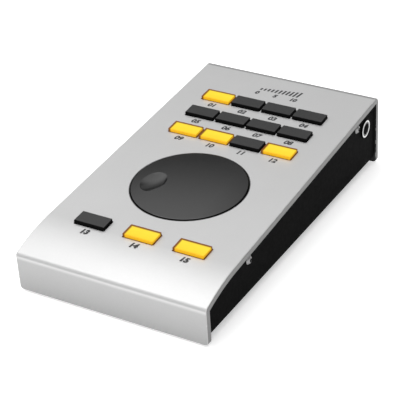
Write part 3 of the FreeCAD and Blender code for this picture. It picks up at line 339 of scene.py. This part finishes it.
def wheel_finish():
    """Dark anodised wheel, with painted light on its dimple and painted shade on the dimple's steep front edge."""
    finish = Finish("wheel_anodised", grey(0.007), 0.15)
    finish.vary_color(20 * MM, 0.03)
    across, back, _ = finish.from_centre(on_panel(*DIMPLE_CENTRE))
    reach = finish.squares(
        finish.math("DIVIDE", across, DIMPLE_HALF_WIDTH),
        finish.math("DIVIDE", back, DIMPLE_HALF_LENGTH),
    )
    slope = finish.along(DIMPLE_EDGE_FACES)
    # Painted light: within the dimple, the surfaces that lie flat or lean a little the way its steep edge faces
    # are painted paler
    pale = finish.both(finish.band(slope, *DIMPLE_LIGHT_SLOPE), finish.fall(reach, *DIMPLE_LIGHT_REACH))
    finish.lay(pale, grey(0.033))

    # Painted shade: flat parts shine, less so to the left and right, and least on the dimple's front edge, which
    # this paints dark
    across, back, _ = finish.from_centre(PANEL.translation)
    flat = finish.along(PANEL_NORMAL)
    beside = finish.span(finish.absolute(across), 1, 0.76, *WHEEL_BESIDE_OUT)
    shine = finish.math("MULTIPLY", finish.span(flat, 0.03, 0.72, *SHINY_FLAT), beside)
    edge = finish.both(finish.band(reach, *EDGE_REACH), finish.rise(slope, *EDGE_SLOPE))
    shine = finish.math("MULTIPLY", shine, finish.span(edge, 1, 0.10, 0, 1))
    finish.drive("Specular IOR Level", shine)
    finish.vary_roughness(1.5 * MM, 0.03)

    # The crown's facets all meet in its middle, where its own sphere gives the normal instead
    outer_grain = finish.grain(0.15 * MM, 0.003 * MM)
    middle_grain = finish.grain(0.15 * MM, 0.003 * MM)
    summit_normal = finish.sphere_normal(on_panel(0, 0, CROWN_SUMMIT - CROWN_RADIUS))
    finish.link(summit_normal, middle_grain.inputs["Normal"])
    from_middle = finish.math("SQRT", finish.squares(across, back))
    middle = finish.both(
        finish.fall(from_middle, *CROWN_MIDDLE_OUT), finish.rise(flat, *CROWN_FLAT)
    )
    finish.drive("Normal", finish.blend(
        middle, outer_grain.outputs["Normal"], middle_grain.outputs["Normal"]
    ))
    return finish.material


# A cap's size, and where it changes: from its middle, or by how flat its surface lies
CAP_HALF_WIDTH = 8.55 * MM
CAP_HALF_DEPTH = 4.4 * MM
CAP_FRONT_EDGE = (0.45 * MM - CAP_HALF_DEPTH, 0.75 * MM - CAP_HALF_DEPTH)
CAP_END = (CAP_HALF_WIDTH - 0.9 * MM, CAP_HALF_WIDTH)
CAP_SIDE_FLAT = (0.35, 0.9)


class CapFinish(Finish):
    """A key cap's finish, with places on the cap and one mask for its sides and front edge."""

    def __init__(self, name, key, roughness):
        super().__init__(name + key, (0.014, 0.014, 0.0142), roughness)
        self.vary_color(3 * MM, 0.08)
        self.across, self.back, self.up = self.from_centre(middle_of("key_cap_" + key))
        upright = self.fall(self.along(PANEL_NORMAL), *CAP_SIDE_FLAT)
        self.side = self.either(upright, self.fall(self.back, *CAP_FRONT_EDGE))
        self.vary_roughness(0.8 * MM, 0.05)
        self.grain(0.2 * MM, 0.004 * MM)


def black_key_finish(key):
    """Black moulded cap: satin top with rubbed ends, and painted shade on its sides and the top's front edge,
    which barely shine.
    """
    finish = CapFinish("key_dark_", key, 0.38)
    # Painted shade: the sides and the top's front edge barely shine
    finish.drive("Specular IOR Level", finish.span(finish.side, 0.56, 0.02, 0, 1))
    ends = finish.rise(finish.absolute(finish.across), *CAP_END)
    worn = finish.both(ends, finish.rise(finish.noise(2.5 * MM, 3.0), 0.45, 0.60))
    finish.lay(worn, grey(0.030))
    # Painted shade: the sides and the top's front edge are painted darker
    finish.lay(finish.side, grey(0.004))
    return finish.material


# A lit cap's colours, and where its painted shade lies: in from the rim, and up from the cap's middle
LIT_MIDDLE = (0.465, 0.345, 0.016)
LIT_FRONT = (0.475, 0.320, 0.009)
LIT_SIDE = (0.52, 0.275, 0.004)
LIT_RIM_SHADE = (0.10, 0.032, 0.003)
LIT_LEFT_RIM = (1.0 * MM - CAP_HALF_WIDTH, 1.8 * MM - CAP_HALF_WIDTH)
LIT_REAR_RIM = (CAP_HALF_DEPTH - 1.8 * MM, CAP_HALF_DEPTH - 1.0 * MM)
LIT_FOOT_UP = (0.9 * MM, 1.2 * MM)
LIT_RIGHT_FOOT_UP = (1.3 * MM, 1.9 * MM)


def lit_key_finish(key):
    """Translucent amber cap with its lamp on: yellow middle, deeper sides, and painted shade in brown along the
    rim and the feet.
    """
    finish = CapFinish("key_lit_", key, 0.40)
    finish.shader.inputs["Specular IOR Level"].default_value = 0.25

    # The middle of the top is the brightest, and the front the most orange
    middle = finish.rise(finish.back, -CAP_HALF_DEPTH, 0.2 * CAP_HALF_DEPTH)
    face = finish.blend(middle, LIT_FRONT, LIT_MIDDLE)
    cap = finish.blend(finish.side, face, LIT_SIDE)

    # Painted shade: the left and rear rim, the lower right side and every foot are painted brown
    left = finish.fall(finish.across, *LIT_LEFT_RIM)
    rear = finish.rise(finish.back, *LIT_REAR_RIM)
    foot = finish.fall(finish.up, *LIT_FOOT_UP)
    right = finish.both(
        finish.rise(finish.along(RIGHT), 0.3, 0.7), finish.fall(finish.up, *LIT_RIGHT_FOOT_UP)
    )
    rim = finish.either(finish.either(left, rear), finish.either(right, foot))
    color = finish.blend(rim, cap, LIT_RIM_SHADE)
    finish.drive("Base Color", color)
    finish.drive("Emission Color", color)
    finish.drive("Emission Strength", finish.span(finish.noise(6 * MM), 0.96, 1.04))
    return finish.material


WHEEL_RUN = 119.0 * MM
SIDE_SCREW_RUNS = (27.1 * MM, 154.5 * MM)
SIDE_SCREW_DROP = 6.3 * MM
HEX_SOCKET_OUT = (0.95 * MM, 1.15 * MM)


def side_screw_finish():
    """Nickel button heads, each with a dark disc painted in its middle as the shade of its hex socket.

    A run is a place's distance along the panel from its rear corner, and a drop goes down from
    the panel's face.
    """
    finish = Finish("side_screw_nickel", grey(0.33), 0.40, 0.6)
    finish.vary_color(1.5 * MM, 0.06)
    rear_screw, front_screw = [
        finish.radius(on_panel(0, WHEEL_RUN - run, -SIDE_SCREW_DROP)) for run in SIDE_SCREW_RUNS
    ]
    nearest = finish.math("MINIMUM", rear_screw, front_screw)
    # Painted shade: a dark disc at each head's middle stands for the shade in its hex socket
    finish.lay(finish.fall(nearest, *HEX_SOCKET_OUT), grey(0.015))
    finish.vary_roughness(0.5 * MM, 0.07)
    finish.grain(0.25 * MM, 0.006 * MM)
    return finish.material


NUT_INNER_SIDE_OUT = (4.0 * MM, 4.2 * MM)
NUT_OUTER_SIDE_OUT = (4.6 * MM, 4.85 * MM)


def jack_nut_finish():
    """Bright nickel ring, with painted shade on its turned outer and inner sides."""
    finish = Finish("nut_nickel", grey(0.66), 0.22, 1.0)
    finish.vary_color(2 * MM, 0.06)
    radius = finish.radius(middle_of("jack_nut"))
    # Painted shade: the ring's outer and inner sides are painted dark
    turned = finish.either(
        finish.rise(radius, *NUT_OUTER_SIDE_OUT), finish.fall(radius, *NUT_INNER_SIDE_OUT)
    )
    finish.lay(turned, grey(0.08))
    finish.vary_roughness(0.5 * MM, 0.05)
    finish.grain(0.25 * MM, 0.003 * MM)
    return finish.material


def board_finish():
    """Green solder mask."""
    finish = Finish("board_green", (0.012, 0.10, 0.04), 0.30)
    finish.vary_color(1.5 * MM, 0.25)
    finish.vary_roughness(0.6 * MM, 0.06)
    finish.grain(1.0 * MM, 0.01 * MM)
    return finish.material


SLOT_FINISHES = {
    "cover_metal": cover_finish(),
    "chassis_metal": chassis_finish(),
    "block_metal": simple_finish("block_milled", (0.62, 0.62, 0.63), 0.34, 1.0),
    "screw_steel": simple_finish("screw_nickel", (0.42, 0.42, 0.43), 0.28, 1.0, 1.5 * MM),
    "foot_rubber": simple_finish("foot_rubber", grey(0.022), 0.8, 0.0, 2 * MM, 0.03 * MM),
    "board_laminate": board_finish(),
    "standoff_metal": simple_finish("standoff_nickel", (0.66, 0.64, 0.60), 0.25, 1.0),
    "chip_resin": simple_finish("chip_resin", (0.02, 0.02, 0.021), 0.5),
    "connector_plastic": simple_finish("connector_black", grey(0.02), 0.45),
    "jack_plastic": simple_finish("jack_black", grey(0.02), 0.35),
    "nut_nickel": jack_nut_finish(),
    "shell_steel": simple_finish("shell_tin", grey(0.68), 0.28, 1.0),
    "usb_plastic": simple_finish("usb_black", grey(0.03), 0.42),
    "switch_plastic": simple_finish("switch_dark", grey(0.05), 0.5),
    "lamp_resin": simple_finish("lamp_resin", (0.90, 0.62, 0.15), 0.2),
    "encoder_steel": simple_finish("encoder_steel", grey(0.55), 0.33, 1.0),
    "wheel_metal": wheel_finish(),
    "hub_brass": simple_finish("hub_brass", (0.72, 0.52, 0.22), 0.28, 1.0),
    "shaft_metal": simple_finish("shaft_ground", grey(0.62), 0.22, 1.0),
    "plunger_plastic": simple_finish("plunger_ivory", (0.75, 0.73, 0.68), 0.45),
}


def paint(piece, material):
    piece.data.materials.clear()
    piece.data.materials.append(material)


def finish_for(node, slot):
    """A node's material: a key cap's is its own, and the others go by slot."""
    if slot == "key_amber":
        return lit_key_finish(node[-2:])
    if slot == "key_black":
        return black_key_finish(node[-2:])
    if node == "side_screws":
        return side_screw_finish()
    return SLOT_FINISHES[slot]


for row in frame["record"]["subparts"]:
    paint(frame["nodes"][row["node"]], finish_for(row["node"], row["material_slot"]))


# Printed numbers ----------------------------------------------------------------------

INK_LIFT = 0.01 * MM
INK_THICKNESS = 0.02 * MM
INK_WEIGHT = 0.24 * MM
INK_SLANT = 0.2
CAPITAL_SHARE = 0.7


def ink_finish():
    """Dark matt screen print."""
    finish = Finish("ink_dark", (0.03, 0.03, 0.032), 0.6)
    finish.vary_color(1 * MM, 0.1)
    finish.vary_roughness(0.5 * MM, 0.05)
    finish.grain(0.1 * MM, 0.002 * MM)
    return finish.material


INK = ink_finish()


def add_ink(name, mesh):
    """A print on the panel, which stays with the housing."""
    ink = bpy.data.objects.new(name, mesh)
    bpy.context.scene.collection.objects.link(ink)
    paint(ink, INK)
    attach(ink, "housing")


def print_text(name, text, x, y, height):
    """Slanted text, centred across on a place of the panel's frame and standing on it.

    A figure is as high as the named share of the font's size. The bevel makes the strokes
    heavier, and the text is then pressed flat to the ink's thickness.
    """
    curve = bpy.data.curves.new(name + "_text", "FONT")
    curve.body = text
    curve.align_x = "CENTER"
    curve.size = height / CAPITAL_SHARE
    curve.shear = INK_SLANT
    curve.extrude = INK_THICKNESS
    curve.bevel_depth = INK_WEIGHT
    written = bpy.data.objects.new(name + "_text", curve)
    bpy.context.scene.collection.objects.link(written)
    bpy.context.view_layer.update()
    mesh = bpy.data.meshes.new_from_object(written)
    bpy.data.objects.remove(written)
    flat = Matrix.Scale(INK_THICKNESS / 2 / (INK_THICKNESS + INK_WEIGHT), 4, (0, 0, 1))
    mesh.transform(PANEL @ Matrix.Translation((x, y, INK_LIFT + INK_THICKNESS / 2)) @ flat)
    add_ink(name, mesh)


KEYS = ["%02d" % number for number in range(1, 16)]
LABEL_HEIGHT = 3.2 * MM
LABEL_GAP = 2.1 * MM


def print_key_numbers():
    """Each key's own number, in front of its cap."""
    for key in KEYS:
        cap = PANEL.inverted() @ middle_of("key_cap_" + key)
        foot = cap.y - CAP_HALF_DEPTH - LABEL_GAP - LABEL_HEIGHT
        print_text("number_" + key, key, cap.x, foot, LABEL_HEIGHT)


SCALE_BACK = 100.0 * MM
SCALE_STEPS = 10
SCALE_PITCH = 2.2 * MM
SCALE_STROKE = 1.15 * MM
SCALE_LOW = 2.0 * MM
SCALE_GROWTH = 0.36 * MM
SCALE_NUMBER_STEPS = 5
SCALE_NUMBER_HEIGHT = 2.8 * MM
SCALE_NUMBER_DROP = 4.6 * MM
BOX_FACES = ((3, 2, 1, 0), (4, 5, 6, 7), (0, 1, 5, 4), (1, 2, 6, 5), (2, 3, 7, 6), (3, 0, 4, 7))


def print_scale():
    """A plain level scale at the rear: slanted strokes that grow to the right, with numbers."""
    built = bmesh.new()
    for step in range(SCALE_STEPS + 1):
        left = (step - SCALE_STEPS / 2) * SCALE_PITCH
        height = SCALE_LOW + SCALE_GROWTH * step
        outline = ((0, 0), (SCALE_STROKE, 0), (SCALE_STROKE, height), (0, height))
        corners = [
            built.verts.new(on_panel(left + across + INK_SLANT * up, SCALE_BACK + up, lift))
            for lift in (INK_LIFT, INK_LIFT + INK_THICKNESS)
            for across, up in outline
        ]
        for face in BOX_FACES:
            built.faces.new([corners[corner] for corner in face])
    mesh = bpy.data.meshes.new("level_scale")
    built.to_mesh(mesh)
    built.free()
    add_ink("level_scale", mesh)
    for step in range(0, SCALE_STEPS + 1, SCALE_NUMBER_STEPS):
        print_text(
            "level_%d" % step, str(step), (step - SCALE_STEPS / 2) * SCALE_PITCH,
            SCALE_BACK - SCALE_NUMBER_DROP, SCALE_NUMBER_HEIGHT,
        )


print_key_numbers()
print_scale()


# Floor, light and camera --------------------------------------------------------------

FLOOR_COLOR = grey(0.80)
FLOOR_LIFT = 0.45
WALL_COLOR = grey(0.06)
WALL_LIFT = 0.95
WALL_SIDES = 64
WALL_DISTANCE = 6.0
WALL_HEIGHT = 1.1


def stage_finish(name, color, lift):
    """A matt pale finish that the camera, metal and glass see lifted towards white."""
    finish = Finish(name, color, 0.9)
    finish.vary_roughness(50 * MM, 0.03)
    finish.shader.inputs["Specular IOR Level"].default_value = 0.0
    finish.shader.inputs["Emission Color"].default_value = (1, 1, 1, 1)
    rays = finish.node("ShaderNodeLightPath").outputs
    seen = finish.either(
        finish.either(rays["Is Camera Ray"], rays["Is Glossy Ray"]), rays["Is Transmission Ray"]
    )
    finish.drive("Emission Strength", finish.span(seen, 0, lift, 0, 1))
    return finish.material


def add_stage(name, corners, faces, material):
    mesh = bpy.data.meshes.new(name)
    mesh.from_pydata(corners, [], faces)
    piece = bpy.data.objects.new(name, mesh)
    bpy.context.scene.collection.objects.link(piece)
    paint(piece, material)


def make_floor():
    """A round floor, and a low white wall far off all around it."""
    circle = []
    for side in range(WALL_SIDES):
        angle = 2 * math.pi * side / WALL_SIDES
        circle.append((WALL_DISTANCE * math.cos(angle), WALL_DISTANCE * math.sin(angle)))
    foot = [(x, y, 0) for x, y in circle]
    head = [(x, y, WALL_HEIGHT) for x, y in circle]
    panels = []
    for side in range(WALL_SIDES):
        following = (side + 1) % WALL_SIDES
        panels.append((following, side, WALL_SIDES + side, WALL_SIDES + following))
    add_stage("floor", foot, [range(WALL_SIDES)], stage_finish("floor_pale", FLOOR_COLOR, FLOOR_LIFT))
    add_stage("wall", foot + head, panels, stage_finish("wall_pale", WALL_COLOR, WALL_LIFT))


# The room's light goes by how far a direction points along the dome's axis, -1 to 1
DOME_AXIS = Vector((-0.20, -0.25, 0.95)).normalized()
DOME_EDGE = (0.38, 0.645)
DOME_LIGHT = 1.2
ROOM_EDGE = (-0.10, 0.44)
ROOM_LIGHT = 0.10


def make_world():
    """A studio room: a bright soft dome overhead, leaning to the front left, and dark walls."""
    world = bpy.data.worlds.new("studio")
    world.use_nodes = True
    bpy.context.scene.world = world
    nodes = world.node_tree.nodes
    links = world.node_tree.links
    background = nodes["Background"]
    background.inputs["Color"].default_value = (1, 1, 1, 1)
    direction = nodes.new("ShaderNodeTexCoord")
    height = nodes.new("ShaderNodeVectorMath")
    height.operation = "DOT_PRODUCT"
    height.inputs[1].default_value = DOME_AXIS
    links.new(direction.outputs["Generated"], height.inputs[0])
    total = nodes.new("ShaderNodeMath")
    for place, kind, edge, light in (
        (0, "LINEAR", ROOM_EDGE, ROOM_LIGHT), (1, "SMOOTHSTEP", DOME_EDGE, DOME_LIGHT)
    ):
        ramp = nodes.new("ShaderNodeMapRange")
        ramp.interpolation_type = kind
        ramp.inputs["From Min"].default_value, ramp.inputs["From Max"].default_value = edge
        ramp.inputs["To Max"].default_value = light
        links.new(height.outputs["Value"], ramp.inputs["Value"])
        links.new(ramp.outputs["Result"], total.inputs[place])
    links.new(total.outputs["Value"], background.inputs["Strength"])


SOFTBOX_PLACE = (-0.25, -0.05, 1.3)
SOFTBOX_SIZE = (1.2, 0.9)
SOFTBOX_POWER = 7.0


def make_softbox():
    """One soft lamp overhead that shines straight down."""
    light = bpy.data.lights.new("overhead", "AREA")
    light.shape = "RECTANGLE"
    light.size, light.size_y = SOFTBOX_SIZE
    light.energy = SOFTBOX_POWER
    lamp = bpy.data.objects.new("overhead", light)
    bpy.context.scene.collection.objects.link(lamp)
    lamp.location = SOFTBOX_PLACE


# The picture's viewpoint: angles in degrees about X, Y and Z
FOCAL_PIXELS = 1406.66
FRAME_PIXELS = 400.0
SENSOR_WIDTH = 36.0
CAMERA_PLACE = (0.3102, -0.5534, 0.3846)
CAMERA_TURN = (59.655747, 1.322596, 29.015133)


def make_camera():
    """The viewpoint of the picture: 400 pixels square, looking down from the right front."""
    camera_data = bpy.data.cameras.new("camera")
    camera_data.sensor_width = SENSOR_WIDTH
    camera_data.lens = FOCAL_PIXELS * SENSOR_WIDTH / FRAME_PIXELS
    camera_data.clip_start = 0.05
    camera_data.clip_end = 20.0
    camera = bpy.data.objects.new("camera", camera_data)
    bpy.context.scene.collection.objects.link(camera)
    camera.location = CAMERA_PLACE
    camera.rotation_euler = [math.radians(angle) for angle in CAMERA_TURN]
    bpy.context.scene.camera = camera


make_floor()
make_world()
make_softbox()
make_camera()
bpy.context.scene.view_settings.view_transform = "Standard"
